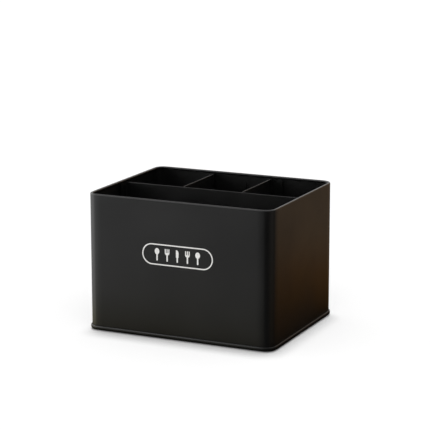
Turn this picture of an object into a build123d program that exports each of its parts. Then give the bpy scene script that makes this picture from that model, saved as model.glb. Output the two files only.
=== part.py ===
from build123d import *
from math import atan2, degrees, sqrt
import os

# A cutlery organizer: a coated sheet-steel box with a curled rim and a seamed floor, standing on rubber
# feet, and a set of dividers that lifts out of it. Millimetres. The origin is on the table under the middle
# of the box, +X is to the right, the front faces -Y and +Z is up.

# Box
WIDTH = 200.0            # across the outsides of the side walls
DEPTH = 158.5            # across the outsides of the front and back walls
HEIGHT = 140.0           # from the table to the top of the rim
CORNER_RADIUS = 10.8     # outside of the upright corners
SHEET = 0.3              # steel with its coating
FOLD_GAP = 0.08          # air between two folded layers
CURL_DIAMETER = 2.6      # outside of the rim's curl

# Seams
HOOK_OVERLAP = 2.7       # how far the two hooks of the floor seam reach past each other
SEAM_ROUND = 5.0         # radius of the floor seam's outer face, to the middle of the sheet
LOCK_OVERLAP = 5.0       # the same for the upright lock seam in the back wall
LOCK_NOTCH = 6.0         # the lock seam's hooks are cut back this far from the rim curl and the floor seam

# Floor
FLOOR_BEND = 1.2         # bend at the floor's edge, to the middle of the sheet
FLOOR_RISE = 0.5         # straight upright stretch below that bend

# Feet
FOOT_DIAMETER = 14.0
FOOT_STAND = 1.0         # how far the feet hold the seam off the table
FOOT_EDGE = 0.6          # rounding of a foot's lower edge
FOOT_INSET = 22.0        # from the outsides of the walls to a foot's middle

# Dividers
FRONT_BAY = 78.4         # from the inside of the front wall to the long divider
MIDDLE_BAY = 65.3        # between the two cross dividers
DIVIDER_DROP = 2.7       # from the top of the rim down to the tops of the dividers
RIM_CLEARANCE = 0.5      # what the divider set clears the rim curl by as it lifts out
HEM_DEPTH = 6.0          # how far a hem is folded down
HEM_NOTCH = 2.0          # a hem stops this far short of a bend or a joint
FLANGE = 12.0            # length of the end flanges
FLANGE_BEND = 1.2        # bend of the end flanges, to the middle of the sheet
TAB_HEIGHT = 10.0
TAB_REACH = 6.0          # how far a folded tab lies along the long divider
TAB_BEND = 0.45          # bend of a tab, to the middle of the sheet
TAB_INSET = 22.0         # from the upper and lower edges to the tabs
SLOT_CLEARANCE = 0.25    # round a tab in its slot

# Printed sign
INK = 0.15               # thickness of the print
SIGN_WIDTH = 76.5
SIGN_HEIGHT = 21.3
SIGN_LINE = 1.2          # width of the outline
SIGN_LEVEL = 85.8        # from the table to the middle of the sign
MARK_HEIGHT = 12.6       # each mark, end to end
MARK_PITCH = 11.0        # from one mark to the next
MARK_LINE = 1.5          # thickness of the handles
HEAD_HEIGHT = 6.4        # the fork's and the spoon's head
HEAD_WIDTH = 5.0
TINE = 1.1
BLADE_HEIGHT = 7.6
BLADE_WIDTH = 2.8

# Places that follow from the sizes above. Lines are the middles of sheets, and those of the walls and seams
# count outwards from the outer face of the wall.
LAYER = SHEET + FOLD_GAP
WALL_LINE = -SHEET / 2
PAN_LINE = WALL_LINE - LAYER
COVER_HOOK = WALL_LINE + LAYER
BODY_HOOK = COVER_HOOK + LAYER
SEAM_LINE = BODY_HOOK + LAYER
HOOK_LEVEL = FOOT_STAND + 2 * LAYER + SHEET / 2         # where the lower bends of the hooks begin
HOOK_TOP = HOOK_LEVEL + HOOK_OVERLAP                    # where the upper bend begins
SEAM_TOP = HOOK_TOP + LAYER + SHEET / 2
FLOOR_EDGE = FLOOR_BEND - PAN_LINE                      # from the wall's outer face in to the flat floor
FLOOR_TOP = HOOK_LEVEL + FLOOR_RISE + FLOOR_BEND + SHEET / 2
FLOOR_UNDER = FLOOR_TOP - SHEET
HEM_BEND = LAYER / 2
HEM_LEVEL = HEIGHT - DIVIDER_DROP - SHEET / 2 - HEM_BEND
LONG_Y = -DEPTH / 2 + SHEET + FRONT_BAY + SHEET / 2     # middle of the long divider
CROSS_X = MIDDLE_BAY / 2 + SHEET / 2                    # middle of the right cross divider
CROSS_START = LONG_Y + SHEET / 2 + FOLD_GAP             # front edges of the cross dividers
INSERT_X = WIDTH / 2 - CURL_DIAMETER - RIM_CLEARANCE    # how far the divider set reaches to each side
INSERT_Y = DEPTH / 2 - CURL_DIAMETER - RIM_CLEARANCE    # how far it reaches to the back
TAB_LEVELS = (FLOOR_TOP + TAB_INSET, HEM_LEVEL - TAB_INSET - TAB_HEIGHT)


def bent_sheet(*lines):
    """Cross-section of a bent sheet, from the line along its middle."""
    return trace(lines, line_width=SHEET).face()


def box_path():
    """The box's outline on the outer faces of its walls, once round from the middle of the front."""
    side = WIDTH / 2
    end = DEPTH / 2
    bend_x = side - CORNER_RADIUS
    bend_y = end - CORNER_RADIUS
    return Wire([
        Line((0, -end), (bend_x, -end)),
        CenterArc((bend_x, -bend_y), CORNER_RADIUS, 270, 90),
        Line((side, -bend_y), (side, bend_y)),
        CenterArc((bend_x, bend_y), CORNER_RADIUS, 0, 90),
        Line((bend_x, end), (-bend_x, end)),
        CenterArc((-bend_x, bend_y), CORNER_RADIUS, 90, 90),
        Line((-side, bend_y), (-side, -bend_y)),
        CenterArc((-bend_x, -bend_y), CORNER_RADIUS, 180, 90),
        Line((-bend_x, -end), (0, -end)),
    ])


def round_the_box(section):
    """Carries a section round the box. Its x runs outwards from the walls' outer faces, its y upwards."""
    start = Plane(origin=(0, -DEPTH / 2, 0), x_dir=(0, -1, 0), z_dir=(-1, 0, 0))
    return Solid.sweep(start * section, box_path())


def upright(section, bottom, top):
    """A plan section carried straight up between two levels."""
    return extrude(Pos(0, 0, bottom) * section, amount=top - bottom)


def body_wrapper():
    """The walls: one strip with its lower edge hooked outwards, its rim curled inwards and its ends locked."""
    curl = CURL_DIAMETER / 2
    section = bent_sheet(
        Line((BODY_HOOK, HOOK_TOP), (BODY_HOOK, HOOK_LEVEL)),
        CenterArc((COVER_HOOK, HOOK_LEVEL), LAYER, 180, 180),
        Line((WALL_LINE, HOOK_LEVEL), (WALL_LINE, HEIGHT - curl)),
        CenterArc((-curl, HEIGHT - curl), curl - SHEET / 2, 0, 270),
    )
    walls = round_the_box(section)

    # The lock seam, drawn from above: the left end hooks outwards, the right end steps over it and hooks in.
    left_end = LOCK_OVERLAP / 2
    right_end = -LOCK_OVERLAP / 2
    step = 1.5 * LAYER
    step_x = left_end + LAYER / 2
    wall_x = step_x + 2 * step
    left_hook = bent_sheet(
        CenterArc((left_end, COVER_HOOK), LAYER, 270, 180),
        Line((left_end, BODY_HOOK), (right_end, BODY_HOOK)),
    )
    right_hook = bent_sheet(
        CenterArc((wall_x, WALL_LINE + step), step, 180, 90),
        CenterArc((step_x, SEAM_LINE - step), step, 0, 90),
        Line((step_x, SEAM_LINE), (right_end, SEAM_LINE)),
        CenterArc((right_end, BODY_HOOK), LAYER, 90, 180),
        Line((right_end, COVER_HOOK), (left_end, COVER_HOOK)),
    )
    window = Pos((left_end + wall_x) / 2, WALL_LINE) * Rectangle(wall_x - left_end, 2 * SHEET)
    back = Pos(0, DEPTH / 2, 0)
    lower = SEAM_TOP + LOCK_NOTCH
    upper = HEIGHT - CURL_DIAMETER - LOCK_NOTCH
    walls -= back * upright(window, lower, upper)
    return walls + [back * upright(left_hook, lower, upper), back * upright(right_hook, lower, upper)]


def seam_face():
    """Middle of the round on the floor seam's outer face, and the angles at which it meets the two bends."""
    upper = Vector(BODY_HOOK, HOOK_TOP)
    lower = Vector(COVER_HOOK, HOOK_LEVEL)
    between = upper - lower
    to_upper = SEAM_ROUND - LAYER
    to_lower = SEAM_ROUND - 2 * LAYER
    along = (to_lower ** 2 - to_upper ** 2 + between.length ** 2) / (2 * between.length)
    inwards = sqrt(to_lower ** 2 - along ** 2)
    up = between.normalized()
    middle = lower + up * along + Vector(-up.Y, up.X) * inwards
    first = degrees(atan2(lower.Y - middle.Y, lower.X - middle.X))
    last = degrees(atan2(upper.Y - middle.Y, upper.X - middle.X))
    return middle, first, last


def base_pan():
    """The floor and its edge, rolled round the wrapper's hook as a double seam."""
    middle, first, last = seam_face()
    section = bent_sheet(
        Line((COVER_HOOK, HOOK_LEVEL), (COVER_HOOK, HOOK_TOP)),
        CenterArc((BODY_HOOK, HOOK_TOP), LAYER, last, 180 - last),
        CenterArc(middle, SEAM_ROUND, first, last - first),
        CenterArc((COVER_HOOK, HOOK_LEVEL), 2 * LAYER, 180, 180 + first),
        Line((PAN_LINE, HOOK_LEVEL), (PAN_LINE, HOOK_LEVEL + FLOOR_RISE)),
        CenterArc((-FLOOR_EDGE, HOOK_LEVEL + FLOOR_RISE), FLOOR_BEND, 0, 90),
    )
    floor = RectangleRounded(WIDTH - 2 * FLOOR_EDGE, DEPTH - 2 * FLOOR_EDGE, CORNER_RADIUS - FLOOR_EDGE)
    return round_the_box(section) + upright(floor, FLOOR_UNDER, FLOOR_TOP)


def hem():
    """Section of a hem, folded to the left: y is upwards from the level of its bend."""
    return bent_sheet(
        CenterArc((-HEM_BEND, 0), HEM_BEND, 0, 180),
        Line((-2 * HEM_BEND, 0), (-2 * HEM_BEND, -HEM_DEPTH)),
    )


def long_divider():
    """The sheet behind the front bay: flanges at both ends, a hem folded forwards, slots for the tabs."""
    flange_x = INSERT_X - SHEET / 2
    bend_x = flange_x - FLANGE_BEND
    bend_y = LONG_Y - FLANGE_BEND
    sheet = upright(
        bent_sheet(
            Line((-flange_x, LONG_Y - FLANGE), (-flange_x, bend_y)),
            CenterArc((-bend_x, bend_y), FLANGE_BEND, 90, 90),
            Line((-bend_x, LONG_Y), (bend_x, LONG_Y)),
            CenterArc((bend_x, bend_y), FLANGE_BEND, 0, 90),
            Line((flange_x, bend_y), (flange_x, LONG_Y - FLANGE)),
        ),
        FLOOR_TOP,
        HEM_LEVEL,
    )
    hem_end = bend_x - HEM_NOTCH
    across = Plane(origin=(-hem_end, LONG_Y, HEM_LEVEL), x_dir=(0, 1, 0), z_dir=(1, 0, 0))
    sheet += extrude(across * hem(), amount=2 * hem_end)
    slot = Box(SHEET + 2 * SLOT_CLEARANCE, 2 * SHEET, TAB_HEIGHT + 2 * SLOT_CLEARANCE)
    for x in (-CROSS_X, CROSS_X):
        for level in TAB_LEVELS:
            sheet -= Pos(x, LONG_Y, level + TAB_HEIGHT / 2) * slot
    return sheet


def right_cross_divider():
    """A sheet behind the long divider: two tabs folded over in its slots, a hem and a flange at the back."""
    flange_y = INSERT_Y - SHEET / 2
    bend_y = flange_y - FLANGE_BEND
    tab_y = LONG_Y - SHEET - FOLD_GAP
    sheet = upright(
        bent_sheet(
            Line((CROSS_X, CROSS_START), (CROSS_X, bend_y)),
            CenterArc((CROSS_X + FLANGE_BEND, bend_y), FLANGE_BEND, 90, 90),
            Line((CROSS_X + FLANGE_BEND, flange_y), (CROSS_X + FLANGE, flange_y)),
        ),
        FLOOR_TOP,
        HEM_LEVEL,
    )
    hem_start = CROSS_START + HEM_NOTCH
    along = Plane(origin=(CROSS_X, bend_y - HEM_NOTCH, HEM_LEVEL), x_dir=(1, 0, 0), z_dir=(0, -1, 0))
    sheet += extrude(along * hem(), amount=bend_y - HEM_NOTCH - hem_start)
    tab = bent_sheet(
        Line((CROSS_X, CROSS_START), (CROSS_X, tab_y + TAB_BEND)),
        CenterArc((CROSS_X + TAB_BEND, tab_y + TAB_BEND), TAB_BEND, 180, 90),
        Line((CROSS_X + TAB_BEND, tab_y), (CROSS_X + TAB_REACH, tab_y)),
    )
    return sheet + [upright(tab, level, level + TAB_HEIGHT) for level in TAB_LEVELS]


def foot(x, y):
    """A rubber pad glued to the underside of the floor."""
    pad = Pos(x, y) * Cylinder(FOOT_DIAMETER / 2, FLOOR_UNDER, align=(Align.CENTER, Align.CENTER, Align.MIN))
    return fillet(pad.edges().sort_by(Axis.Z)[0], FOOT_EDGE)


def printed(sketch):
    """A print on the front wall, from a sketch whose x runs to the right and y upwards."""
    front = Plane(origin=(0, -DEPTH / 2, SIGN_LEVEL), x_dir=(1, 0, 0), z_dir=(0, -1, 0))
    return extrude(front * sketch, amount=INK)


def sign_outline():
    """The pill-shaped line round the sign."""
    inside = SlotOverall(SIGN_WIDTH - 2 * SIGN_LINE, SIGN_HEIGHT - 2 * SIGN_LINE)
    return printed(SlotOverall(SIGN_WIDTH, SIGN_HEIGHT) - inside)


def bar(bottom, top, thickness):
    """An upright bar with round ends, from one height to another."""
    return Pos(0, (bottom + top) / 2) * Rot(0, 0, 90) * SlotOverall(top - bottom, thickness)


def fork_mark():
    """A fork of three tines on a round palm."""
    half = MARK_HEIGHT / 2
    head = HEAD_WIDTH / 2
    palm_y = half - HEAD_HEIGHT + head
    palm = Pos(0, palm_y) * Circle(head) - Pos(0, palm_y + head) * Rectangle(2 * HEAD_WIDTH, 2 * head)
    fork = palm + bar(-half, palm_y, MARK_LINE)
    for x in (-head + TINE / 2, 0, head - TINE / 2):
        fork += Pos(x, 0) * bar(palm_y - TINE, half, TINE)
    return fork


def knife_mark():
    """A knife with a round-nosed blade, its edge to the right."""
    half = MARK_HEIGHT / 2
    side = BLADE_WIDTH / 2
    blade_y = half - BLADE_HEIGHT
    nose_y = half - BLADE_WIDTH
    blade = make_face(Wire([
        Line((-side, blade_y), (side, blade_y)),
        Line((side, blade_y), (side, nose_y)),
        CenterArc((-side, nose_y), BLADE_WIDTH, 0, 90),
        Line((-side, half), (-side, blade_y)),
    ]))
    return blade + bar(-half, blade_y + MARK_LINE, MARK_LINE)


def spoon_mark():
    """A spoon with an oval bowl."""
    half = MARK_HEIGHT / 2
    bowl_y = half - HEAD_HEIGHT / 2
    return Pos(0, bowl_y) * Ellipse(HEAD_WIDTH / 2, HEAD_HEIGHT / 2) + bar(-half, bowl_y, MARK_LINE)


def sign_marks():
    """Cutlery standing in a row: the knife in the middle, a fork and a spoon on each side of it."""
    row = (spoon_mark(), fork_mark(), knife_mark(), fork_mark(), spoon_mark())
    middle = (len(row) - 1) / 2
    return [printed(Pos((place - middle) * MARK_PITCH, 0) * mark) for place, mark in enumerate(row)]


def build():
    """Every piece of the organizer by its name."""
    right = right_cross_divider()
    foot_x = WIDTH / 2 - FOOT_INSET
    foot_y = DEPTH / 2 - FOOT_INSET
    return {
        "body_wrapper": body_wrapper(),
        "base_pan": base_pan(),
        "long_divider": long_divider(),
        "left_cross_divider": mirror(right, about=Plane.YZ),
        "right_cross_divider": right,
        "front_left_foot": foot(-foot_x, -foot_y),
        "front_right_foot": foot(foot_x, -foot_y),
        "rear_left_foot": foot(-foot_x, foot_y),
        "rear_right_foot": foot(foot_x, foot_y),
        "sign_outline": sign_outline(),
        "sign_marks": Compound(children=sign_marks()),
    }


os.makedirs("parts", exist_ok=True)
for name, piece in build().items():
    export_step(piece, f"parts/{name}.step")
    print(name, round(piece.volume), "mm3")
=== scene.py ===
"""Looks of a cutlery organizer: powder-coated sheet steel, a printed sign, rubber feet and a small studio."""
import logging
from dataclasses import dataclass, field
from enum import Enum

import bpy
import numpy as np
from mathutils import Matrix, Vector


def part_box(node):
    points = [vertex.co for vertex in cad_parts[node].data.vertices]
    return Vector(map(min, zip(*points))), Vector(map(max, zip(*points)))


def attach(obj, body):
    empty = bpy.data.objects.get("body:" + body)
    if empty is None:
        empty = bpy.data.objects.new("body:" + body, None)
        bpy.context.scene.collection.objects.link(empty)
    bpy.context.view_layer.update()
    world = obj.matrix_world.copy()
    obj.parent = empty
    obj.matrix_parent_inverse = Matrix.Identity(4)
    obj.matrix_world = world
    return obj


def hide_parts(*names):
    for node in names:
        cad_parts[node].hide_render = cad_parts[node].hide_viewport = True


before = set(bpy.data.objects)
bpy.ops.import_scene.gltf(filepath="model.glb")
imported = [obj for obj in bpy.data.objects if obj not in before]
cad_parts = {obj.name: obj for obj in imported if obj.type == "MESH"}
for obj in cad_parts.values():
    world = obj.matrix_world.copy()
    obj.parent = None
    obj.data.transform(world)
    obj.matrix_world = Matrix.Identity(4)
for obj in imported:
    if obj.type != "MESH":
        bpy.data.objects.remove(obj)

log = logging.getLogger("cutlery_organizer")

MM = 0.001
SHEET = 0.3 * MM             # coated steel, as the solids have it
FOLD_GAP = 0.08 * MM         # air between two folded layers
LAYER = SHEET + FOLD_GAP     # from one folded layer to the next
WALL_PITCH = 5.0 * MM        # spacing of mesh lines along flat sheet
GUARD = 0.25 * MM            # a mesh line this close to a bend keeps the flat beside it flat
BEND_STEP = 7.5              # degrees between mesh lines round a bend
WELD = 0.002 * MM            # points closer than this are one
WELD_SHIFT = 0.313           # keeps the weld's grid off round sizes, where rounding would part two twins
SHARP_ANGLE = np.radians(40.0)

Point = tuple[float, float]
Span = tuple[float, float]   # from one value to another


class Body(str, Enum):
    """The bodies that pieces ride on."""

    BOX = "box"
    DIVIDERS = "divider_set"


class Slot(str, Enum):
    """The record's material slots."""

    BOX_COAT = "box_coat"
    DIVIDER_COAT = "divider_coat"
    FOOT_RUBBER = "foot_rubber"
    SIGN_INK = "sign_ink"


def linear(hex_colour: str) -> tuple[float, float, float, float]:
    """Turns an sRGB hex value into a linear colour.

    Args:
        hex_colour: six hex digits, such as "1d1d1e".

    Returns:
        Red, green, blue and an alpha of 1.
    """
    channels = np.array([int(hex_colour[i:i + 2], 16) for i in (0, 2, 4)]) / 255
    low = channels / 12.92
    high = ((channels + 0.055) / 1.055) ** 2.4
    return (*np.where(channels <= 0.04045, low, high).tolist(), 1.0)


def add_node(tree: bpy.types.NodeTree, kind: str, inputs: dict | None = None,
             **settings: object) -> bpy.types.Node:
    """Adds a node with its settings, and sets or links its inputs.

    Args:
        tree: the node tree.
        kind: the node's type name.
        inputs: by socket name or number, a value or another node's output socket.
        **settings: attributes of the node.

    Returns:
        The new node.
    """
    node = tree.nodes.new(kind)
    for name, value in settings.items():
        setattr(node, name, value)
    for name, value in (inputs or {}).items():
        if isinstance(value, bpy.types.NodeSocket):
            tree.links.new(value, node.inputs[name])
        else:
            node.inputs[name].default_value = value
    return node


def new_material(name: str) -> tuple[bpy.types.Material, bpy.types.NodeTree]:
    """Makes an empty node material.

    Args:
        name: of the material.

    Returns:
        The material and its node tree.
    """
    material = bpy.data.materials.new(name)
    material.use_nodes = True
    material.node_tree.nodes.clear()
    return material, material.node_tree


@dataclass(frozen=True)
class PowderCoat:
    """Satin polyester powder coat, sprayed and baked on steel.

    It gives the eye a soft, wide gloss over near black, a faint orange peel, slightly uneven gloss, and a
    smoother, greyer line on the rim and the hems: worn coat, and a painted highlight along their crowns.
    """

    name: str
    colour: str = "0c0c0c"
    # greyer colour of the worn crowns, which also paints a highlight there
    worn_highlight_colour: str = "141415"
    roughness: float = 0.35
    rubbed_roughness: float = 0.32
    gloss_spread: float = 0.05       # how far roughness wanders over the sheet
    cloud_size: float = 60 * MM      # of that wandering
    peel_size: float = 1.6 * MM      # orange peel; real peel is about half that, too fine to show
    peel_depth: float = 0.012 * MM
    ior: float = 1.42

    def material(self) -> bpy.types.Material:
        """Builds the node material.

        Returns:
            The material.
        """
        material, tree = new_material(self.name)
        where = add_node(tree, "ShaderNodeTexCoord").outputs["Object"]
        # worn coat plus a painted highlight along the crowns of the rim, hems and seam
        wear_and_highlight = add_node(tree, "ShaderNodeAttribute", attribute_name="wear_and_highlight").outputs["Fac"]
        cloud = add_node(tree, "ShaderNodeTexNoise", {
            "Vector": where, "Scale": 1 / self.cloud_size, "Detail": 3.0, "Roughness": 0.55})
        spread = add_node(tree, "ShaderNodeMapRange", {
            "Value": cloud.outputs["Fac"], "From Min": 0.3, "From Max": 0.7,
            "To Min": self.roughness - self.gloss_spread, "To Max": self.roughness + self.gloss_spread})
        # where the coat is worn and painted with highlight it turns smoother and greyer
        roughness = add_node(tree, "ShaderNodeMix", {
            "Factor": wear_and_highlight, "A": spread.outputs["Result"], "B": self.rubbed_roughness})
        colour = add_node(tree, "ShaderNodeMix", {
            "Factor": wear_and_highlight, "A": linear(self.colour), "B": linear(self.worn_highlight_colour)}, data_type="RGBA")
        peel = add_node(tree, "ShaderNodeTexNoise", {
            "Vector": where, "Scale": 1 / self.peel_size, "Detail": 1.0, "Roughness": 0.4})
        bump = add_node(tree, "ShaderNodeBump", {
            "Height": peel.outputs["Fac"], "Strength": 0.35, "Distance": self.peel_depth})
        coat = add_node(tree, "ShaderNodeBsdfPrincipled", {
            "Base Color": colour.outputs["Result"], "Roughness": roughness.outputs["Result"],
            "IOR": self.ior, "Normal": bump.outputs["Normal"]})
        add_node(tree, "ShaderNodeOutputMaterial", {"Surface": coat.outputs["BSDF"]})
        return material


@dataclass(frozen=True)
class PrintedInk:
    """White screen-printing ink, flooded through a mesh: opaque, slightly matt, faintly grained."""

    name: str = "white_screen_ink"
    colour: str = "f6f5f2"
    thin_colour: str = "e2e1de"
    roughness: float = 0.5
    grain_size: float = 0.7 * MM     # the screen's threads are finer, drawn as coarse as shows

    def material(self) -> bpy.types.Material:
        """Builds the node material.

        Returns:
            The material.
        """
        material, tree = new_material(self.name)
        where = add_node(tree, "ShaderNodeTexCoord").outputs["Object"]
        grain = add_node(tree, "ShaderNodeTexNoise", {
            "Vector": where, "Scale": 1 / self.grain_size, "Detail": 2.0})
        cover = add_node(tree, "ShaderNodeMapRange", {
            "Value": grain.outputs["Fac"], "From Min": 0.3, "From Max": 0.55})
        colour = add_node(tree, "ShaderNodeMix", {
            "Factor": cover.outputs["Result"], "A": linear(self.thin_colour), "B": linear(self.colour)},
            data_type="RGBA")
        ink = add_node(tree, "ShaderNodeBsdfPrincipled", {
            "Base Color": colour.outputs["Result"], "Roughness": self.roughness})
        add_node(tree, "ShaderNodeOutputMaterial", {"Surface": ink.outputs["BSDF"]})
        return material


@dataclass(frozen=True)
class MouldedRubber:
    """Black moulded rubber: dull, with a fine blasted-mould grain and a dusty bloom."""

    name: str = "moulded_rubber"
    colour: str = "141414"
    bloom_colour: str = "262525"
    bloom_size: float = 8.0 * MM
    roughness: float = 0.82
    grain_size: float = 0.5 * MM
    grain_depth: float = 0.03 * MM

    def material(self) -> bpy.types.Material:
        """Builds the node material.

        Returns:
            The material.
        """
        material, tree = new_material(self.name)
        where = add_node(tree, "ShaderNodeTexCoord").outputs["Object"]
        grain = add_node(tree, "ShaderNodeTexNoise", {
            "Vector": where, "Scale": 1 / self.grain_size, "Detail": 2.0})
        bloom = add_node(tree, "ShaderNodeTexNoise", {
            "Vector": where, "Scale": 1 / self.bloom_size, "Detail": 3.0})
        colour = add_node(tree, "ShaderNodeMix", {
            "Factor": bloom.outputs["Fac"], "A": linear(self.colour), "B": linear(self.bloom_colour)},
            data_type="RGBA")
        bump = add_node(tree, "ShaderNodeBump", {
            "Height": grain.outputs["Fac"], "Strength": 0.6, "Distance": self.grain_depth})
        rubber = add_node(tree, "ShaderNodeBsdfPrincipled", {
            "Base Color": colour.outputs["Result"], "Roughness": self.roughness,
            "Normal": bump.outputs["Normal"]})
        add_node(tree, "ShaderNodeOutputMaterial", {"Surface": rubber.outputs["BSDF"]})
        return material


def put_in_scene(name: str, data: bpy.types.ID) -> bpy.types.Object:
    """Makes an object of a mesh, lamp or camera at the origin and links it.

    Args:
        name: of the object.
        data: what it shows.

    Returns:
        The object.
    """
    placed = bpy.data.objects.new(name, data)
    bpy.context.scene.collection.objects.link(placed)
    return placed


@dataclass(frozen=True)
class Trail:
    """A line in a plane: its points, and the direction to the right of travel at each."""

    points: np.ndarray
    sides: np.ndarray


def joined(*trails: Trail, closed: bool = False) -> Trail:
    """Strings trails end to end, each beginning where the last one stopped.

    Args:
        *trails: the stretches in order.
        closed: whether the last one ends where the first began.

    Returns:
        One trail without the doubled points.
    """
    points = np.concatenate([trails[0].points] + [t.points[1:] for t in trails[1:]])
    sides = np.concatenate([trails[0].sides] + [t.sides[1:] for t in trails[1:]])
    if closed:
        return Trail(points[:-1], sides[:-1])
    return Trail(points, sides)


def stretch(start: Point, end: Point) -> Trail:
    """Points from start to end about one pitch apart, with one more close to each end.

    Args:
        start: first point.
        end: last point.

    Returns:
        The straight trail.
    """
    first, last = np.array(start, float), np.array(end, float)
    length = np.linalg.norm(last - first)
    share = np.linspace(0, 1, max(1, round(length / WALL_PITCH)) + 1)
    if length > 4 * GUARD:
        share = np.union1d(share, [GUARD / length, 1 - GUARD / length])
    along = (last - first) / length
    side = np.array([along[1], -along[0]])
    return Trail(first + share[:, None] * (last - first), np.tile(side, (len(share), 1)))


def straight(*stops: Point) -> Trail:
    """Straight stretches from stop to stop."""
    return joined(*(stretch(start, end) for start, end in zip(stops, stops[1:])))


def bend(centre: Point, radius: float, first: float, turn: float) -> Trail:
    """Points round an arc: centre + radius (cos a, sin a), with a from first to first + turn.

    Args:
        centre: of the arc.
        radius: of the arc.
        first: first angle in degrees.
        turn: signed sweep in degrees; to the left is positive.

    Returns:
        The curved trail.
    """
    count = max(2, int(np.ceil(abs(turn) / BEND_STEP))) + 1
    angle = np.radians(np.linspace(first, first + turn, count))
    spoke = np.stack([np.cos(angle), np.sin(angle)], axis=1)
    return Trail(np.array(centre) + radius * spoke, spoke * np.sign(turn))


def mitred(loop: Trail) -> Trail:
    """Gives a closed line with corners the sides that keep an offset parallel: (n + m) / (1 + n.m).

    Args:
        loop: closed line; n and m are the directions to the right of the two edges at each point.

    Returns:
        The same points with mitred sides.
    """
    edges = np.roll(loop.points, -1, axis=0) - loop.points
    after = np.stack([edges[:, 1], -edges[:, 0]], axis=1) / np.linalg.norm(edges, axis=1, keepdims=True)
    before = np.roll(after, 1, axis=0)
    spread = 1 + np.sum(after * before, axis=1, keepdims=True)
    return Trail(loop.points, (after + before) / spread)


def middles(values: np.ndarray, closed: bool = False) -> np.ndarray:
    """Middles between neighbours along a line, with the last and first too if it is closed."""
    ring = np.concatenate([values, values[:1]]) if closed else values
    return (ring[:-1] + ring[1:]) / 2


def soft_step(low: float, high: float, value: np.ndarray) -> np.ndarray:
    """Rises smoothly from 0 at low to 1 at high: 3 t^2 - 2 t^3."""
    t = np.clip((value - low) / (high - low), 0, 1)
    return t * t * (3 - 2 * t)


@dataclass
class Surface:
    """A mesh in the making: vertices, quads, many-sided caps, and how worn each vertex is, with its painted
    highlight.
    """

    vertices: np.ndarray
    quads: np.ndarray
    wear_and_highlight: np.ndarray
    caps: list[np.ndarray] = field(default_factory=list)

    def __add__(self, other: "Surface") -> "Surface":
        """Puts two surfaces into one mesh."""
        shift = len(self.vertices)
        return Surface(
            np.concatenate([self.vertices, other.vertices]),
            np.concatenate([self.quads, other.quads + shift]),
            np.concatenate([self.wear_and_highlight, other.wear_and_highlight]),
            self.caps + [cap + shift for cap in other.caps],
        )

    def mirrored(self) -> "Surface":
        """The left-hand twin: x turns to -x, and the faces run the other way round."""
        return Surface(self.vertices * np.array([-1, 1, 1]), self.quads[:, ::-1], self.wear_and_highlight)

    def welded(self) -> "Surface":
        """Joins points that coincide, and drops faces inside the metal, where two sheets share one.

        Returns:
            The surface, ready to be a mesh.
        """
        spots = np.round(self.vertices / WELD + WELD_SHIFT)
        _, first, place = np.unique(spots, axis=0, return_index=True, return_inverse=True)
        quads = place.reshape(-1)[self.quads]
        _, which, count = np.unique(np.sort(quads, axis=1), axis=0, return_inverse=True, return_counts=True)
        caps = [place.reshape(-1)[cap] for cap in self.caps]
        return Surface(self.vertices[first], quads[count[which.reshape(-1)] == 1], self.wear_and_highlight[first], caps)


def carried(path: Trail, section: Trail) -> tuple[np.ndarray, np.ndarray]:
    """Carries a section along a path: S(s, h) = P(s) + o(h) N(s) + z(h) Z.

    Args:
        path: in plan; N is the direction to its right.
        section: its first number o counts along N, its second is the height z.

    Returns:
        Points and facing directions, both shaped (path, section, 3).
    """
    points = np.empty((len(path.points), len(section.points), 3))
    facing = np.empty_like(points)
    points[..., :2] = path.points[:, None] + section.points[None, :, :1] * path.sides[:, None]
    points[..., 2] = section.points[None, :, 1]
    facing[..., :2] = section.sides[None, :, :1] * path.sides[:, None]
    facing[..., 2] = section.sides[None, :, 1]
    return points, facing


def grid_quads(grid: np.ndarray, keep: np.ndarray) -> np.ndarray:
    """Quads of the kept cells of a grid of vertex numbers, facing to the right of the path.

    Args:
        grid: vertex numbers, shaped (path, section).
        keep: which cells are wanted.

    Returns:
        Vertex numbers, four to a row.
    """
    corners = [grid[:-1, :-1], grid[1:, :-1], grid[1:, 1:], grid[:-1, 1:]]
    return np.stack([corner[keep] for corner in corners], axis=1)


def closed_skin(points: np.ndarray, tube: bool = False) -> Surface:
    """The skin of a solid, from a grid whose path is closed.

    Args:
        points: shaped (path, section, 3).
        tube: whether the section is closed too.

    Returns:
        A surface without thickness.
    """
    count, rows = points.shape[:2]
    grid = np.arange(count * rows).reshape(count, rows)
    grid = np.concatenate([grid, grid[:1]])
    if tube:
        grid = np.concatenate([grid, grid[:, :1]], axis=1)
    quads = grid_quads(grid, np.ones((grid.shape[0] - 1, grid.shape[1] - 1), bool))
    return Surface(points.reshape(-1, 3), quads, np.zeros(count * rows))


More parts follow.
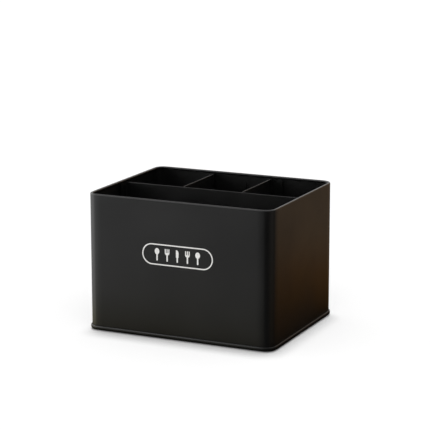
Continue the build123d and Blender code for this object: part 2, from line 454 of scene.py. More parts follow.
def sheet_shell(points: np.ndarray, facing: np.ndarray, keep: np.ndarray, wear_and_highlight: np.ndarray,
                closed: bool = False) -> Surface:
    """Gives a sheet's middle surface S its thickness t: faces S +- t/2 n, and a wall along every cut edge.

    Args:
        points: middle surface, shaped (path, section, 3).
        facing: its normals.
        keep: which cells of the grid are sheet and which are cut away.
        wear_and_highlight: how worn each point of the grid is, with its painted highlight.
        closed: whether the path runs back to its start.

    Returns:
        A closed surface.
    """
    count, rows = points.shape[:2]
    offset = count * rows
    front = np.arange(offset).reshape(count, rows)
    left = np.pad(keep, ((1, 0), (0, 0)))
    right = np.pad(keep, ((0, 1), (0, 0)))
    if closed:
        front = np.concatenate([front, front[:1]])
        left[0], right[-1] = keep[-1], True
    below = np.pad(keep, ((0, 0), (1, 0)))
    above = np.pad(keep, ((0, 0), (0, 1)))

    def walls(first: np.ndarray, second: np.ndarray, mask: np.ndarray) -> np.ndarray:
        """Quads from the edge between two corners on the front down to the back."""
        a, b = first[mask], second[mask]
        return np.stack([a, b, b + offset, a + offset], axis=1)

    quads = np.concatenate([
        grid_quads(front, keep),
        grid_quads(front + offset, keep)[:, ::-1],
        walls(front[1:], front[:-1], above & ~below),
        walls(front[:-1], front[1:], below & ~above),
        walls(front[:, :-1], front[:, 1:], right & ~left),
        walls(front[:, 1:], front[:, :-1], left & ~right),
    ])
    both = np.concatenate([points + facing * SHEET / 2, points - facing * SHEET / 2]).reshape(-1, 3)
    used, quads = np.unique(quads, return_inverse=True)
    return Surface(both[used], quads.reshape(-1, 4), np.tile(wear_and_highlight.ravel(), 2)[used])


def make_piece(name: str, surface: Surface, material: bpy.types.Material, body: Body,
               node: str) -> None:
    """Turns a surface into a piece that rides on a body and stands for a CAD node.

    Args:
        name: of the piece.
        surface: its mesh.
        material: its finish.
        body: what it rides on.
        node: the CAD node that it stands for.
    """
    surface = surface.welded()
    faces = [list(dict.fromkeys(face)) for face in surface.quads.tolist()]
    faces = [face for face in faces if len(face) > 2] + [cap.tolist() for cap in surface.caps]
    mesh = bpy.data.meshes.new(name)
    mesh.from_pydata(surface.vertices.tolist(), [], faces)
    # the per-vertex wear and painted highlight that the coat reads
    mesh.attributes.new("wear_and_highlight", "FLOAT", "POINT").data.foreach_set("value", surface.wear_and_highlight.astype(np.float32))
    mesh.polygons.foreach_set("use_smooth", np.ones(len(mesh.polygons), bool))
    mesh.set_sharp_from_angle(angle=SHARP_ANGLE)
    mesh.materials.append(material)
    mesh.update()
    piece = put_in_scene(name, mesh)
    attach(piece, body.value)
    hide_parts(node)
    log.info("%s: %d faces on %s", name, len(mesh.polygons), body.value)


@dataclass
class SteelBox:
    """The walls with their curled rim and lock seam, and the floor rolled on to them with a double seam."""

    corner: float = 10.8 * MM
    lead_radius: float = 60.0 * MM   # bent sheet springs back, so corners begin and end in this gentle curve
    lead_turn: float = 6.0           # degrees of turn in that curve
    curl: float = 1.3 * MM           # outer radius of the rim's curl
    seam_round: float = 5.0 * MM     # of the floor seam's outer face
    floor_bend: float = 1.2 * MM
    lock_overlap: float = 5.0 * MM
    lock_notch: float = 6.0 * MM
    bow: float = 0.20 * MM           # how far the middle of a wall stands proud of flat
    full_wear_and_highlight: float = 0.3            # of the curl's radius: this close to its top the rim has its full wear and painted highlight
    seam_wear_and_highlight: float = 0.5            # how worn the top of the floor seam is, and how much painted highlight it has, where the rim is 1
    # rings of the floor's mesh, as shares of the way from its middle to its edge
    floor_rings: tuple[float, ...] = (0.997, 0.96, 0.85, 0.7, 0.55, 0.4, 0.25, 0.1, 0.0)

    def __post_init__(self) -> None:
        """Takes the sizes that the solids give from their boxes, and the lines of the folded layers."""
        low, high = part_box("body_wrapper")
        self.side = high.x - 2 * LAYER
        self.end = -low.y - 2 * LAYER
        self.height = high.z
        self.hook_level = low.z + LAYER + SHEET / 2
        self.seam_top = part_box("base_pan")[1].z
        self.hook_top = self.seam_top - LAYER - SHEET / 2
        self.floor_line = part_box("long_divider")[0].z - SHEET / 2
        self.wall = -SHEET / 2
        self.pan, self.cover, self.hook, self.seam = (self.wall + n * LAYER for n in (-1, 1, 2, 3))
        self.lock_low = self.seam_top + self.lock_notch
        self.lock_high = self.height - 2 * self.curl - self.lock_notch
        self.left_end = self.lock_overlap / 2
        self.lock_step = 3 * LAYER / 2      # radius of each of the two bends that step out over three layers
        self.step_x = self.left_end + LAYER / 2
        self.wall_x = self.step_x + 2 * self.lock_step
        lead, diagonal = np.radians(self.lead_turn), np.sqrt(0.5)
        sagitta = self.lead_radius * (1 - np.cos(lead))
        self.tight = (self.corner * (1 - diagonal) - sagitta) / (np.cos(lead) - diagonal)
        reach = self.lead_radius * np.sin(lead) + self.tight * (np.cos(lead) - np.sin(lead)) + sagitta
        self.flat_x, self.flat_y = self.side - reach, self.end - reach

    def turned(self, start: Point, heading: float) -> Trail:
        """A corner to the left: a gentle curve, the tight bend and a gentle curve, each tangent to the next.

        The tight bend's radius is such that the corner's middle lies where a plain round of the corner's
        radius has it.

        Args:
            start: where the flat wall ends.
            heading: of the wall's outward face, in degrees.

        Returns:
            The curved trail.
        """
        lead, main = self.lead_turn, 90 - 2 * self.lead_turn

        def spoke(angle: float) -> np.ndarray:
            """The direction at an angle in degrees."""
            return np.array([np.cos(np.radians(angle)), np.sin(np.radians(angle))])

        slack = self.lead_radius - self.tight
        first = np.array(start) - self.lead_radius * spoke(heading)
        middle = first + slack * spoke(heading + lead)
        last = middle - slack * spoke(heading + lead + main)
        return joined(
            bend(first, self.lead_radius, heading, lead),
            bend(middle, self.tight, heading + lead, main),
            bend(last, self.lead_radius, heading + lead + main, lead),
        )

    def outline(self) -> Trail:
        """The walls' outer faces in plan, anticlockwise from the middle of the front.

        Returns:
            The closed trail.
        """
        side, end, x, y = self.side, self.end, self.flat_x, self.flat_y
        return joined(
            straight((0, -end), (x, -end)), self.turned((x, -end), 270),
            straight((side, -y), (side, y)), self.turned((side, y), 0),
            straight((x, end), (self.wall_x, end), (self.left_end, end), (-x, end)),
            self.turned((-x, end), 90),
            straight((-side, y), (-side, -y)), self.turned((-side, -y), 180),
            straight((-x, -end), (0, -end)), closed=True,
        )

    def bowed(self, points: np.ndarray) -> np.ndarray:
        """How far a wall stands proud of flat: bow (1 - u^2)^2 (1 - v^2)^2, u along the wall, v up it.

        Args:
            points: on or near the walls, shaped (..., 3).

        Returns:
            The distance outwards at each point.
        """
        x, y, z = np.moveaxis(points, -1, 0)
        on_side = np.where(np.abs(y) < self.flat_y, y / self.flat_y, 1.0)
        u = np.where(np.abs(x) < self.flat_x, x / self.flat_x, on_side)
        v = np.clip(2 * (z - self.seam_top) / (self.height - 2 * self.curl - self.seam_top) - 1, -1, 1)
        return self.bow * (1 - u ** 2) ** 2 * (1 - v ** 2) ** 2

    def wrapper(self) -> Surface:
        """The walls: a hook at the foot, a curl of three quarters of a turn, and a gap for the lock seam.

        Returns:
            The strip as a closed surface.
        """
        path = self.outline()
        curl_level = self.height - self.curl
        section = joined(
            straight((self.hook, self.hook_top), (self.hook, self.hook_level)),
            bend((self.cover, self.hook_level), LAYER, 0, -180),
            straight((self.wall, self.hook_level), (self.wall, self.lock_low), (self.wall, self.lock_high),
                     (self.wall, curl_level)),
            bend((-self.curl, curl_level), self.curl - SHEET / 2, 0, 270),
        )
        points, facing = carried(path, section)
        points[..., :2] += self.bowed(points)[..., None] * path.sides[:, None]
        x, y = middles(path.points, closed=True).T
        z = middles(section.points[:, 1])
        beside_lock = (y > 0) & (x > self.left_end) & (x < self.wall_x)
        gap = beside_lock[:, None] & (z > self.lock_low) & (z < self.lock_high)
        # worn coat and painted highlight along the crown of the curl
        wear_and_highlight = soft_step(curl_level, self.height - self.full_wear_and_highlight * self.curl, points[..., 2])
        return sheet_shell(points, facing, ~gap, wear_and_highlight, closed=True)

    def lock_seam(self) -> Surface:
        """The wrapper's two ends at the back: the left one hooks outwards, the right one steps over it.

        Returns:
            Both ends, each a closed surface.
        """
        left, right, step = self.left_end, -self.lock_overlap / 2, self.lock_step
        end = self.end
        left_hook = joined(
            bend((left, end + self.cover), LAYER, 270, 180),
            straight((left, end + self.hook), (right, end + self.hook)),
        )
        right_hook = joined(
            bend((self.wall_x, end + self.wall + step), step, 270, -90),
            bend((self.step_x, end + self.seam - step), step, 0, 90),
            straight((self.step_x, end + self.seam), (right, end + self.seam)),
            bend((right, end + self.hook), LAYER, 90, 180),
            straight((right, end + self.cover), (left, end + self.cover)),
        )
        upright = straight((0, self.lock_low), (0, self.lock_high))

        def strip(path: Trail) -> Surface:
            """One end, carried straight up and bowed with the wall.

            Args:
                path: the end's fold in plan.

            Returns:
                A closed surface.
            """
            points, facing = carried(path, upright)
            points[..., 1] += self.bowed(points)
            keep = np.ones((points.shape[0] - 1, points.shape[1] - 1), bool)
            return sheet_shell(points, facing, keep, np.zeros(points.shape[:2]))

        return strip(left_hook) + strip(right_hook)

    def seam_face(self) -> tuple[np.ndarray, float, float]:
        """The round on the floor seam's outer face, which touches the bend above it and the one below.

        Returns:
            Its middle, and the angles in degrees at which it meets the lower and the upper bend.
        """
        upper, lower = np.array([self.hook, self.hook_top]), np.array([self.cover, self.hook_level])
        apart = np.linalg.norm(upper - lower)
        to_upper, to_lower = self.seam_round - LAYER, self.seam_round - 2 * LAYER
        along = (to_lower ** 2 - to_upper ** 2 + apart ** 2) / (2 * apart)
        up = (upper - lower) / apart
        inwards = np.array([-up[1], up[0]]) * np.sqrt(to_lower ** 2 - along ** 2)
        middle = lower + up * along + inwards
        low_angle, high_angle = (np.degrees(np.arctan2(*(spot - middle)[::-1])) for spot in (lower, upper))
        return middle, low_angle, high_angle

    def base_pan(self) -> Surface:
        """The double seam's outer layers, the step up inside the walls, and the floor in rings to its middle.

        Returns:
            A closed surface.
        """
        path = self.outline()
        middle, low_angle, high_angle = self.seam_face()
        edge, bend_level = self.pan - self.floor_bend, self.floor_line - self.floor_bend
        section = joined(
            straight((self.cover, self.hook_level), (self.cover, self.hook_top)),
            bend((self.hook, self.hook_top), LAYER, 180, high_angle - 180),
            bend(middle, self.seam_round, high_angle, low_angle - high_angle),
            bend((self.cover, self.hook_level), 2 * LAYER, low_angle, -180 - low_angle),
            straight((self.pan, self.hook_level), (self.pan, bend_level)),
            bend((edge, bend_level), self.floor_bend, 0, 90),
        )
        points, facing = carried(path, section)
        shares = np.array(self.floor_rings)[:, None]
        floor = points[:, -1:] * np.where([True, True, False], shares, 1)
        upwards = np.broadcast_to(np.array([0.0, 0.0, 1.0]), floor.shape)
        # worn coat and a weaker painted highlight along the top of the floor seam
        wear_and_highlight = self.seam_wear_and_highlight * soft_step(self.hook_top, self.seam_top, points[..., 2])
        wear_and_highlight = np.concatenate([wear_and_highlight, np.zeros(floor.shape[:2])], axis=1)
        points = np.concatenate([points, floor], axis=1)
        facing = np.concatenate([facing, upwards], axis=1)
        keep = np.ones((points.shape[0], points.shape[1] - 1), bool)
        return sheet_shell(points, facing, keep, wear_and_highlight, closed=True)

    def build(self, coat: bpy.types.Material) -> None:
        """Makes both pieces.

        Args:
            coat: their finish.
        """
        walls = self.wrapper() + self.lock_seam()
        make_piece("box_walls", walls, coat, Body.BOX, "body_wrapper")
        make_piece("box_floor_and_seam", self.base_pan(), coat, Body.BOX, "base_pan")


@dataclass
class DividerSet:
    """Three hemmed sheets: a long one with flanged ends, and two behind it with tabs folded in its slots."""

    flange: float = 12.0 * MM
    flange_bend: float = 1.2 * MM
    hem_bend: float = LAYER / 2
    hem_depth: float = 6.0 * MM
    hem_notch: float = 2.0 * MM      # a hem stops this far short of a bend or a joint
    tab_height: float = 10.0 * MM
    tab_reach: float = 6.0 * MM
    tab_bend: float = 0.45 * MM
    tab_inset: float = 22.0 * MM
    slot_clearance: float = 0.25 * MM

    def __post_init__(self) -> None:
        """Takes places from the boxes of the solids."""
        low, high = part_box("long_divider")
        self.bottom = low.z
        self.hem_level = high.z - SHEET / 2 - self.hem_bend
        self.flange_x = high.x - SHEET / 2
        self.long_y = high.y - SHEET / 2
        cross_low, cross_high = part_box("right_cross_divider")
        self.cross_x = cross_low.x + 2 * self.hem_bend + SHEET / 2
        self.flange_y = cross_high.y - SHEET / 2
        self.tab_levels = (self.bottom + self.tab_inset, self.hem_level - self.tab_inset - self.tab_height)

    def levels(self, clearance: float) -> list[float]:
        """Heights that part the upright sheet: its bottom, the ends of the tabs or slots, and the hem."""
        ends = [(low - clearance, low + self.tab_height + clearance) for low in self.tab_levels]
        return [self.bottom, *np.ravel(ends).tolist(), self.hem_level]

    def section(self, clearance: float, fold: int) -> tuple[Trail, np.ndarray, np.ndarray]:
        """The sheet from the floor up to its hem, which is folded over and down.

        Args:
            clearance: round a tab, for the levels of the slots.
            fold: 1 for a hem to the right of travel, -1 for one to the left.

        Returns:
            The section, which of its cells are in the hem, and which are level with a tab.
        """
        levels = self.levels(clearance)
        upright = straight(*((0, level) for level in levels))
        hem = joined(
            bend((fold * self.hem_bend, self.hem_level), self.hem_bend, 90 + 90 * fold, -180 * fold),
            straight((2 * fold * self.hem_bend, self.hem_level),
                     (2 * fold * self.hem_bend, self.hem_level - self.hem_depth)),
        )
        section = joined(upright, hem)
        in_hem = np.arange(len(section.points) - 1) >= len(upright.points) - 1
        z = middles(section.points[:, 1])
        by_tab = ((z > levels[1]) & (z < levels[2])) | ((z > levels[3]) & (z < levels[4]))
        return section, in_hem, by_tab & ~in_hem

    def shell(self, path: Trail, section: Trail, keep: np.ndarray) -> Surface:
        """A sheet along a path, worn along the crown of its hem, with a painted highlight there.

        Args:
            path: in plan.
            section: upright.
            keep: which cells are sheet.

        Returns:
            A closed surface.
        """
        points, facing = carried(path, section)
        # worn coat and painted highlight along the crown of the hem
        wear_and_highlight = soft_step(self.hem_level, self.hem_level + self.hem_bend, points[..., 2])
        return sheet_shell(points, facing, keep, wear_and_highlight)

    def long_sheet(self) -> Surface:
        """From flange to flange behind the front bay, with slots for the tabs and its hem folded forwards.

        Returns:
            A closed surface.
        """
        bend_x, bend_y = self.flange_x - self.flange_bend, self.long_y - self.flange_bend
        front = self.long_y - self.flange
        hem_end = bend_x - self.hem_notch
        half_slot = SHEET / 2 + self.slot_clearance
        stops = [self.cross_x - half_slot, self.cross_x + half_slot, hem_end, bend_x]
        path = joined(
            straight((-self.flange_x, front), (-self.flange_x, bend_y)),
            bend((-bend_x, bend_y), self.flange_bend, 180, -90),
            straight(*((x, self.long_y) for x in [-x for x in reversed(stops)] + stops)),
            bend((bend_x, bend_y), self.flange_bend, 90, -90),
            straight((self.flange_x, bend_y), (self.flange_x, front)),
        )
        section, in_hem, by_tab = self.section(self.slot_clearance, fold=1)
        x, _ = np.abs(middles(path.points)).T
        slot = (x > stops[0]) & (x < stops[1])
        keep = ~in_hem | (x < hem_end)[:, None]
        return self.shell(path, section, keep & ~(slot[:, None] & by_tab))

    def right_cross_sheet(self) -> Surface:
        """From its tabs in the long sheet back to its flange, its hem folded towards the middle bay.

        Returns:
            A closed surface.
        """
        tab_y = self.long_y - LAYER
        start = self.long_y + SHEET / 2 + FOLD_GAP
        bend_y = self.flange_y - self.flange_bend
        hem_start, hem_end = start + self.hem_notch, bend_y - self.hem_notch
        x = self.cross_x
        path = joined(
            straight((x + self.tab_reach, tab_y), (x + self.tab_bend, tab_y)),
            bend((x + self.tab_bend, tab_y + self.tab_bend), self.tab_bend, 270, -90),
            straight((x, tab_y + self.tab_bend), (x, start), (x, hem_start), (x, hem_end), (x, bend_y)),
            bend((x + self.flange_bend, bend_y), self.flange_bend, 180, -90),
            straight((x + self.flange_bend, self.flange_y), (x + self.flange, self.flange_y)),
        )
        section, in_hem, by_tab = self.section(0.0, fold=-1)
        _, y = middles(path.points).T
        hemmed = (y > hem_start) & (y < hem_end)
        keep = (~in_hem | hemmed[:, None]) & (by_tab | (y > start)[:, None])
        return self.shell(path, section, keep)

    def build(self, coat: bpy.types.Material) -> None:
        """Makes the three sheets.

        Args:
            coat: their finish.
        """
        right = self.right_cross_sheet()
        sheets = {
            "long_divider": self.long_sheet(),
            "left_cross_divider": right.mirrored(),
            "right_cross_divider": right,
        }
        for node, surface in sheets.items():
            make_piece(f"{node}_sheet", surface, coat, Body.DIVIDERS, node)


@dataclass
class RubberFeet:
    """Four moulded pads: a rounded lower edge, sides with draft, and a sunk gate mark in the middle."""

    edge: float = 0.6 * MM
    draft: float = 0.15 * MM
    top_edge: float = 0.15 * MM
    gate: float = 1.4 * MM           # radius of the gate mark
    gate_depth: float = 0.4 * MM
    gate_edge: float = 0.2 * MM
    spokes: int = 64
    nodes: tuple[str, ...] = ("front_left_foot", "front_right_foot", "rear_left_foot", "rear_right_foot")

    def pad(self, node: str) -> Surface:
        """A profile turned round the pad's middle: S = C + r(h) (cos a, sin a) + z(h) Z.

        Args:
            node: the pad's CAD node, which gives its place and size.

        Returns:
            A closed surface.
        """
        low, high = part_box(node)
        radius, height = (high.x - low.x) / 2, high.z
        shoulder = radius - self.draft
        profile = joined(
            straight((0, self.gate_depth), (self.gate, self.gate_depth)),
            straight((self.gate, self.gate_depth), (self.gate, self.gate_edge)),
            bend((self.gate + self.gate_edge, self.gate_edge), self.gate_edge, 180, 90),
            straight((self.gate + self.gate_edge, 0), (radius - self.edge, 0)),
            bend((radius - self.edge, self.edge), self.edge, 270, 90),
            straight((radius, self.edge), (shoulder, height - self.top_edge)),
            bend((shoulder - self.top_edge, height - self.top_edge), self.top_edge, 0, 90),
            straight((shoulder - self.top_edge, height), (0, height)),
        )
        angle = np.linspace(0, 2 * np.pi, self.spokes, endpoint=False)
        spokes = np.stack([np.cos(angle), np.sin(angle)], axis=1)
        centre = np.array([(low.x + high.x) / 2, (low.y + high.y) / 2])
        points, _ = carried(Trail(np.tile(centre, (self.spokes, 1)), spokes), profile)
        return closed_skin(points)

    def build(self, rubber: bpy.types.Material) -> None:
        """Makes the four pads.

        Args:
            rubber: their material.
        """
        for node in self.nodes:
            make_piece(f"{node}_pad", self.pad(node), rubber, Body.BOX, node)


@dataclass
class PrintedSign:
    """A pill-shaped line on the front wall, and a row of generic cutlery marks inside it."""

    box: SteelBox
    line: float = 1.2 * MM           # width of the pill's line
    edge: float = 0.05 * MM          # the ink's rounded edge
    sink: float = 0.03 * MM          # how far the ink keys into the coat
    pitch: float = 11.0 * MM         # from one mark to the next
    handle: float = 1.5 * MM
    head_height: float = 6.4 * MM
    head_width: float = 5.0 * MM
    tine: float = 1.1 * MM
    blade_height: float = 7.6 * MM
    blade_width: float = 2.8 * MM
    bowl_points: int = 61            # round the spoon's bowl

    def __post_init__(self) -> None:
        """Takes the sign's size and place, and the height of the marks, from the boxes of the solids."""
        low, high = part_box("sign_outline")
        self.width, self.height = high.x - low.x, high.z - low.z
        self.level = (low.z + high.z) / 2
        self.ink = high.y - low.y
        mark_low, mark_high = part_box("sign_marks")
        self.half = (mark_high.z - mark_low.z) / 2

    def on_wall(self, points: np.ndarray) -> np.ndarray:
        """Lays a drawing on the front wall: (a, b, c) goes to (a, front - c - bow, level + b).

        Args:
            points: across, up and out from the sign's middle, shaped (..., 3).

        Returns:
            The points in the frame.
        """
        a, b, c = np.moveaxis(points, -1, 0)
        flat = np.stack([a, -self.box.end - c, self.level + b], axis=-1)
        flat[..., 1] -= self.box.bowed(flat)
        return flat

    def outline(self) -> Surface:
        """The pill: a flat line of ink with rounded edges, carried round two straights and two half circles.

        Returns:
            A closed surface.
        """
        radius = (self.height - self.line) / 2
        reach = (self.width - self.height) / 2
        path = joined(
            straight((-reach, -radius), (reach, -radius)), bend((reach, 0), radius, 270, 180),
            straight((reach, radius), (-reach, radius)), bend((-reach, 0), radius, 90, 180), closed=True,
        )
        side, shoulder = self.line / 2, self.ink - self.edge
        section = joined(
            straight((side, -self.sink), (side, shoulder)),
            bend((side - self.edge, shoulder), self.edge, 0, 90),
            straight((side - self.edge, self.ink), (self.edge - side, self.ink)),
            bend((self.edge - side, shoulder), self.edge, 90, 90),
            straight((-side, shoulder), (-side, -self.sink), (side, -self.sink)), closed=True,
        )
        points, _ = carried(path, section)
        return closed_skin(self.on_wall(points), tube=True)

    def with_handle(self, neck: float, *head: Trail) -> Trail:
        """A mark's outline, anticlockwise: the handle's round end, up to the neck, round the head and down.

        Args:
            neck: height at which the handle meets the head.
            *head: the head's outline, from the handle's right edge to its left.

        Returns:
            The closed outline.
        """
        w = self.handle / 2
        low = w - self.half
        return joined(bend((0, low), w, 180, 180), straight((w, low), (w, neck)), *head,
                      straight((-w, neck), (-w, low)), closed=True)

    def spoon(self) -> Trail:
        """An oval bowl, (a sin t, -b cos t) about its middle, on a handle.

        Returns:
            The closed outline.
        """
        w, a, b = self.handle / 2, self.head_width / 2, self.head_height / 2
        first = np.arcsin(w / a)
        t = np.linspace(first, 2 * np.pi - first, self.bowl_points)
        middle = self.half - b
        bowl = Trail(np.stack([a * np.sin(t), middle - b * np.cos(t)], axis=1), np.zeros((len(t), 2)))
        return self.with_handle(middle - b * np.cos(first), bowl)

    def fork(self) -> Trail:
        """Three tines with round ends on a half-round palm, on a handle.

        Returns:
            The closed outline.
        """
        w, r, t = self.handle / 2, self.head_width / 2, self.tine
        palm = self.half - self.head_height + r
        tip = self.half - t / 2
        first = np.degrees(np.arccos(w / r))
        tines = []
        for x in (r - t / 2, 0.0, t / 2 - r):
            right, left = x + t / 2, x - t / 2
            if tines:
                tines.append(straight(tuple(tines[-1].points[-1]), (right, palm)))
            tines += [straight((right, palm), (right, tip)), bend((x, tip), t / 2, 0, 180),
                      straight((left, tip), (left, palm))]
        neck = palm - np.sqrt(r ** 2 - w ** 2)
        return self.with_handle(
            neck, bend((0, palm), r, -first, first), *tines, bend((0, palm), r, 180, first))

    def knife(self) -> Trail:
        """A blade with a quarter-round nose, on a handle.

        Returns:
            The closed outline.
        """
        w, side = self.handle / 2, self.blade_width / 2
        heel, nose = self.half - self.blade_height, self.half - self.blade_width
        return self.with_handle(
            heel,
            straight((w, heel), (side, heel), (side, nose)),
            bend((-side, nose), self.blade_width, 0, 90),
            straight((-side, self.half), (-side, heel), (-w, heel)),
        )

    def mark(self, outline: Trail, x: float) -> Surface:
        """A flat patch of ink with a rounded edge.

        Args:
            outline: closed and anticlockwise.
            x: the mark's place along the sign.

        Returns:
            A closed surface with a cap in front and behind.
        """
        shoulder = self.ink - self.edge
        section = joined(
            straight((0, -self.sink), (0, shoulder)), bend((-self.edge, shoulder), self.edge, 0, 90))
        points, _ = carried(mitred(outline), section)
        points[..., 0] += x
        skin = closed_skin(self.on_wall(points))
        rows = points.shape[1]
        behind = np.arange(0, len(skin.vertices), rows)
        skin.caps = [behind + rows - 1, behind[::-1]]
        return skin

    def marks(self) -> Surface:
        """The knife in the middle, a fork and a spoon on each side of it.

        Returns:
            Five closed surfaces in one.
        """
        row = (self.spoon(), self.fork(), self.knife(), self.fork(), self.spoon())
        middle = len(row) // 2
        first, *rest = (self.mark(one, (place - middle) * self.pitch) for place, one in enumerate(row))
        return sum(rest, first)

    def build(self, ink: bpy.types.Material) -> None:
        """Makes the line and the marks.

        Args:
            ink: their finish.
        """
        make_piece("sign_outline_print", self.outline(), ink, Body.BOX, "sign_outline")
        make_piece("sign_marks_print", self.marks(), ink, Body.BOX, "sign_marks")


@dataclass(frozen=True)
class Camera:
    """The camera that took the picture, from the box's edges in it."""

    place: tuple[float, float, float] = (0.7472, -1.5898, 0.5023)
    yaw: float = 25.072              # degrees to the left of straight ahead
    pitch: float = 12.555            # degrees down
    roll: float = -0.097
    focal_pixels: float = 1784.6
    image_pixels: float = 430.0
    sensor: float = 36.0             # millimetres

    def build(self) -> None:
        """Makes the camera and sets it as the scene's."""
        data = bpy.data.cameras.new("camera")
        data.sensor_fit = "HORIZONTAL"
        data.sensor_width = self.sensor
        data.lens = self.focal_pixels / self.image_pixels * self.sensor
        camera = put_in_scene("camera", data)
        turn = Matrix.Rotation(np.radians(self.yaw), 4, "Z")
        tip = Matrix.Rotation(np.radians(90 - self.pitch), 4, "X")
        lean = Matrix.Rotation(np.radians(self.roll), 4, "Z")
        camera.matrix_world = Matrix.Translation(self.place) @ turn @ tip @ lean
        bpy.context.scene.camera = camera


@dataclass(frozen=True)
class Lamp:
    """A large soft lamp, as far off as the sun, so that it lights the floor evenly. Reflections skip it."""

    name: str
    strength: float
    spread: float                    # degrees across
    height: float                    # degrees above the floor
    heading: float                   # degrees anticlockwise from +X, where it shines from

    def build(self) -> None:
        """Makes the lamp."""
        data = bpy.data.lights.new(self.name, "SUN")
        data.energy = self.strength
        data.angle = np.radians(self.spread)
        lamp = put_in_scene(self.name, data)
        turn = Matrix.Rotation(np.radians(self.heading + 90), 4, "Z")
        tip = Matrix.Rotation(np.radians(90 - self.height), 4, "X")
        lamp.matrix_world = turn @ tip
        lamp.visible_glossy = False


def sector(heading: np.ndarray, first: float, last: float, blur: float) -> np.ndarray:
    """How much of each heading a sector covers, from 0 to 1.

    Args:
        heading: degrees anticlockwise from +X.
        first: where the sector begins.
        last: where it ends.
        blur: degrees over which it fades at both ends.

    Returns:
        The cover at each heading, with one axis more for colours.
    """
    away = np.abs((heading - (first + last) / 2 + 180) % 360 - 180)
    half = (last - first) / 2
    return 1 - soft_step(half - blur / 2, half + blur / 2, away)[..., None]


def reflections_only(name: str, surface: Surface, tint: np.ndarray, shader: str) -> None:
    """Makes a piece of the studio that nothing but reflections see.

    Args:
        name: of the piece.
        surface: its mesh.
        tint: linear colour at each vertex.
        shader: type name of the shader that takes the colour.
    """
    mesh = bpy.data.meshes.new(name)
    mesh.from_pydata(surface.vertices.tolist(), [], surface.quads.tolist())
    colours = np.append(tint.reshape(-1, 3), np.ones((len(surface.vertices), 1)), axis=1)
    tints = mesh.attributes.new("tint", "FLOAT_COLOR", "POINT").data
    tints.foreach_set("color", colours.astype(np.float32).ravel())
    material, tree = new_material(name)
    colour = add_node(tree, "ShaderNodeAttribute", attribute_name="tint").outputs["Color"]
    light = add_node(tree, shader, {"Color": colour})
    add_node(tree, "ShaderNodeOutputMaterial", {"Surface": light.outputs[0]})
    material.cycles.emission_sampling = "NONE"
    mesh.materials.append(material)
    screen = put_in_scene(name, mesh)
    screen.visible_camera = False
    screen.visible_diffuse = False
    screen.visible_transmission = False
    screen.visible_shadow = False


@dataclass(frozen=True)
class Card:
    """A card of the studio, from one heading to another, in degrees anticlockwise from +X."""

    first: float
    last: float
    colour: str
    level: float = 1.0
    sky_level: float = 1.0           # times the level, above the horizon
    blur: float = 12.0               # degrees over which it gives way to its neighbours


@dataclass(frozen=True)
class Shade:
    """A part of the shade round the box: at a distance d it takes depth * exp(-d / length) of the light."""

    depth: float
    length: float
    tint: str = "ffffff"             # painted reflection tint of the floor close by, as the walls mirror it
    clear: Span = (0.0, 1.0)         # distances over which the tint is lost

    def passed(self, away: np.ndarray) -> np.ndarray:
        """The light that it lets through.

        Args:
            away: distances from the box.

        Returns:
            A linear colour at each distance.
        """
        close = np.array(linear(self.tint)[:3])
        tint = close + (1 - close) * soft_step(*self.clear, away)[:, None]
        return tint * (1 - self.depth * np.exp(-away / self.length))[:, None]


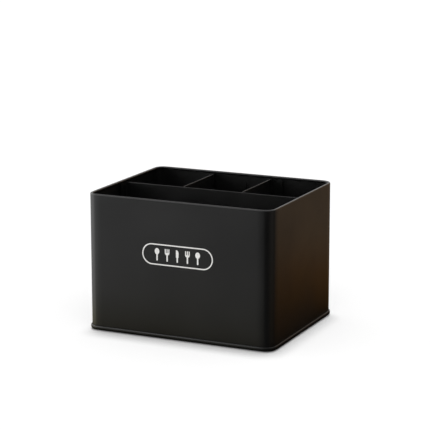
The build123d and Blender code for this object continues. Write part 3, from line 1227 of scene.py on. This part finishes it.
@dataclass(frozen=True)
class Surround:
    """What the walls mirror. The satin coat is nearly black by itself, so this gives each wall its tone.

    Far away stand cards, on a sphere S = R (cos e cos h, cos e sin h, sin e) of headings h and elevations e.
    Later cards stand in front of earlier ones. On the floor lies the box's own shade, through which the walls
    mirror the cards.
    """

    box: SteelBox
    radius: float = 8.0              # of the sphere
    headings: int = 240              # mesh lines of the sphere
    elevations: int = 61
    horizon: Span = (2.0, 14.0)      # elevations over which the sky's level takes over
    zenith: Span = (22.0, 42.0)      # and over which all cards end in one white
    zenith_level: float = 1.15
    cards: tuple[Card, ...] = (
        Card(-180, 180, "ffffff", level=0.7, sky_level=5.6),    # white all round, for the front
        Card(152, 188, "ffffff", level=1.3, sky_level=4.4),     # brighter on the left
        Card(188, 223, "ffffff", level=2.6, sky_level=2.2),     # brightest, for the front left corner
        Card(-110, -82, "6c6c6c", blur=4.0),                    # where the front turns to the right
        Card(-85, -32, "000000", blur=6.0),                     # the dark band down the front right corner
        Card(-32, 60, "5a534c", sky_level=2.6, blur=20.0),
        Card(-8, 8, "a8a4a0", blur=10.0),                       # the paler line beside that band
        Card(60, 86, "926f42", sky_level=2.4, blur=22.0),       # the right wall's brown
        Card(86, 152, "8c8c8c", sky_level=2.0),
        Card(84, 108, "8c8c8c", sky_level=6.0, blur=10.0),      # the right rim's light line
    )
    lift: float = 0.5 * MM           # of the shade above the floor
    under: float = 8.0 * MM          # from the walls to its inner edge, under the box
    near: float = 2.0 * MM           # from the walls to where it begins to fade
    reach: float = 1.5               # from the walls to its outer edge
    rings: int = 40
    shade: Shade = Shade(depth=0.56, length=0.15, tint="fff6cb", clear=(0.01, 0.14))
    right_shade: Shade = Shade(depth=0.9, length=0.14, tint="ffcc62", clear=(0.10, 0.40))
    right_sector: Span = (-42.0, 110.0)                       # headings where the right shade lies
    right_blur: float = 16.0
    contact_shade: Shade = Shade(depth=0.97, length=0.008)    # of what lies close to the seam

    def far_cards(self) -> None:
        """Makes the sphere."""
        heading = np.linspace(-np.pi, np.pi, self.headings, endpoint=False)[:, None]
        elevation = np.linspace(-np.pi / 2, np.pi / 2, self.elevations)[None]
        height = np.broadcast_to(np.sin(elevation), (self.headings, self.elevations))
        points = self.radius * np.stack(
            [np.cos(elevation) * np.cos(heading), np.cos(elevation) * np.sin(heading), height], axis=-1)
        above = soft_step(*self.horizon, np.degrees(elevation))[..., None]
        overhead = soft_step(*self.zenith, np.degrees(elevation))[..., None]
        tint = np.zeros_like(points)
        for card in self.cards:
            cover = sector(np.degrees(heading), card.first, card.last, card.blur)
            level = card.level * (1 + (card.sky_level - 1) * above)
            tint = tint * (1 - cover) + np.array(linear(card.colour)[:3]) * level * cover
        tint = tint * (1 - overhead) + self.zenith_level * overhead
        reflections_only("studio_cards", closed_skin(points), tint, "ShaderNodeEmission")

    def floor_shade(self) -> None:
        """Makes the shade round the box."""
        steps = [-self.under, *np.geomspace(self.near, self.reach, self.rings)]
        across = straight(*((step, self.lift) for step in steps))
        points, _ = carried(self.box.outline(), across)
        away = np.maximum(across.points[:, 0] - self.near, 0.0)
        heading = np.degrees(np.arctan2(points[..., 1], points[..., 0]))
        cover = sector(heading, *self.right_sector, self.right_blur)
        tint = self.shade.passed(away) * (1 - cover) + self.right_shade.passed(away) * cover
        tint = tint * self.contact_shade.passed(away)
        reflections_only("studio_floor_shade", closed_skin(points), tint, "ShaderNodeBsdfTransparent")

    def build(self) -> None:
        """Makes the cards and the shade."""
        self.far_cards()
        self.floor_shade()


@dataclass(frozen=True)
class Studio:
    """A white floor under an even white sky, two soft lamps, and what the walls mirror."""

    box: SteelBox
    floor_colour: str = "f4f4f4"
    floor_size: float = 20.0
    floor_lift: float = 0.1          # added for the eye alone, so that the open floor is white
    sky_strength: float = 0.42
    lamps: tuple[Lamp, ...] = (
        Lamp("overhead_lamp", strength=1.65, spread=12.0, height=84.5, heading=114.0),
        Lamp("front_lamp", strength=0.6, spread=60.0, height=40.0, heading=290.0),
    )

    def floor(self) -> None:
        """A flat floor at the level of the feet."""
        half = self.floor_size / 2
        corners = [(-half, -half, 0), (half, -half, 0), (half, half, 0), (-half, half, 0)]
        mesh = bpy.data.meshes.new("floor")
        mesh.from_pydata(corners, [], [(0, 1, 2, 3)])
        material, tree = new_material("matt_white_floor")
        seen = add_node(tree, "ShaderNodeLightPath").outputs["Is Camera Ray"]
        lift = add_node(tree, "ShaderNodeMath", {0: seen, 1: self.floor_lift}, operation="MULTIPLY")
        paint = add_node(tree, "ShaderNodeBsdfDiffuse", {"Color": linear(self.floor_colour)})
        glow = add_node(tree, "ShaderNodeEmission", {"Strength": lift.outputs["Value"]})
        both = add_node(tree, "ShaderNodeAddShader", {0: paint.outputs["BSDF"], 1: glow.outputs["Emission"]})
        add_node(tree, "ShaderNodeOutputMaterial", {"Surface": both.outputs["Shader"]})
        mesh.materials.append(material)
        floor = put_in_scene("floor", mesh)
        floor.visible_glossy = False

    def sky(self) -> None:
        """An even sky: white to the eye, softer as a light. In reflections the cards stand in front of it."""
        world = bpy.data.worlds.new("studio")
        world.use_nodes = True
        tree = world.node_tree
        tree.nodes.clear()
        rays = add_node(tree, "ShaderNodeLightPath").outputs
        eye = add_node(tree, "ShaderNodeMath", {0: rays["Is Camera Ray"], 1: rays["Is Glossy Ray"]},
                       operation="MAXIMUM")
        eye = add_node(tree, "ShaderNodeMath", {0: eye.outputs["Value"], 1: rays["Is Transmission Ray"]},
                       operation="MAXIMUM")
        white = (1.0, 1.0, 1.0, 1.0)
        light = add_node(tree, "ShaderNodeBackground", {"Color": white, "Strength": self.sky_strength})
        seen = add_node(tree, "ShaderNodeBackground", {"Color": white, "Strength": 1.0})
        sky = add_node(tree, "ShaderNodeMixShader", {
            0: eye.outputs["Value"], 1: light.outputs["Background"], 2: seen.outputs["Background"]})
        add_node(tree, "ShaderNodeOutputWorld", {"Surface": sky.outputs["Shader"]})
        bpy.context.scene.world = world
        world.cycles_visibility.glossy = False

    def build(self) -> None:
        """Makes the floor, the sky, the lamps and the cards."""
        self.floor()
        self.sky()
        for lamp in self.lamps:
            lamp.build()
        Surround(self.box).build()
        bpy.context.scene.view_settings.view_transform = "Standard"


def main() -> None:
    """Builds the organizer's looks, the studio and the camera."""
    logging.basicConfig(level=logging.INFO, format="%(name)s: %(message)s")
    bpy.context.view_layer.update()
    box = SteelBox()
    box.build(PowderCoat("satin_black_powder_coat").material())
    DividerSet().build(PowderCoat("satin_black_powder_coat_dividers").material())
    RubberFeet().build(MouldedRubber().material())
    PrintedSign(box).build(PrintedInk().material())
    Studio(box).build()
    Camera().build()
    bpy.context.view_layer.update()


if __name__ == "__main__":
    main()
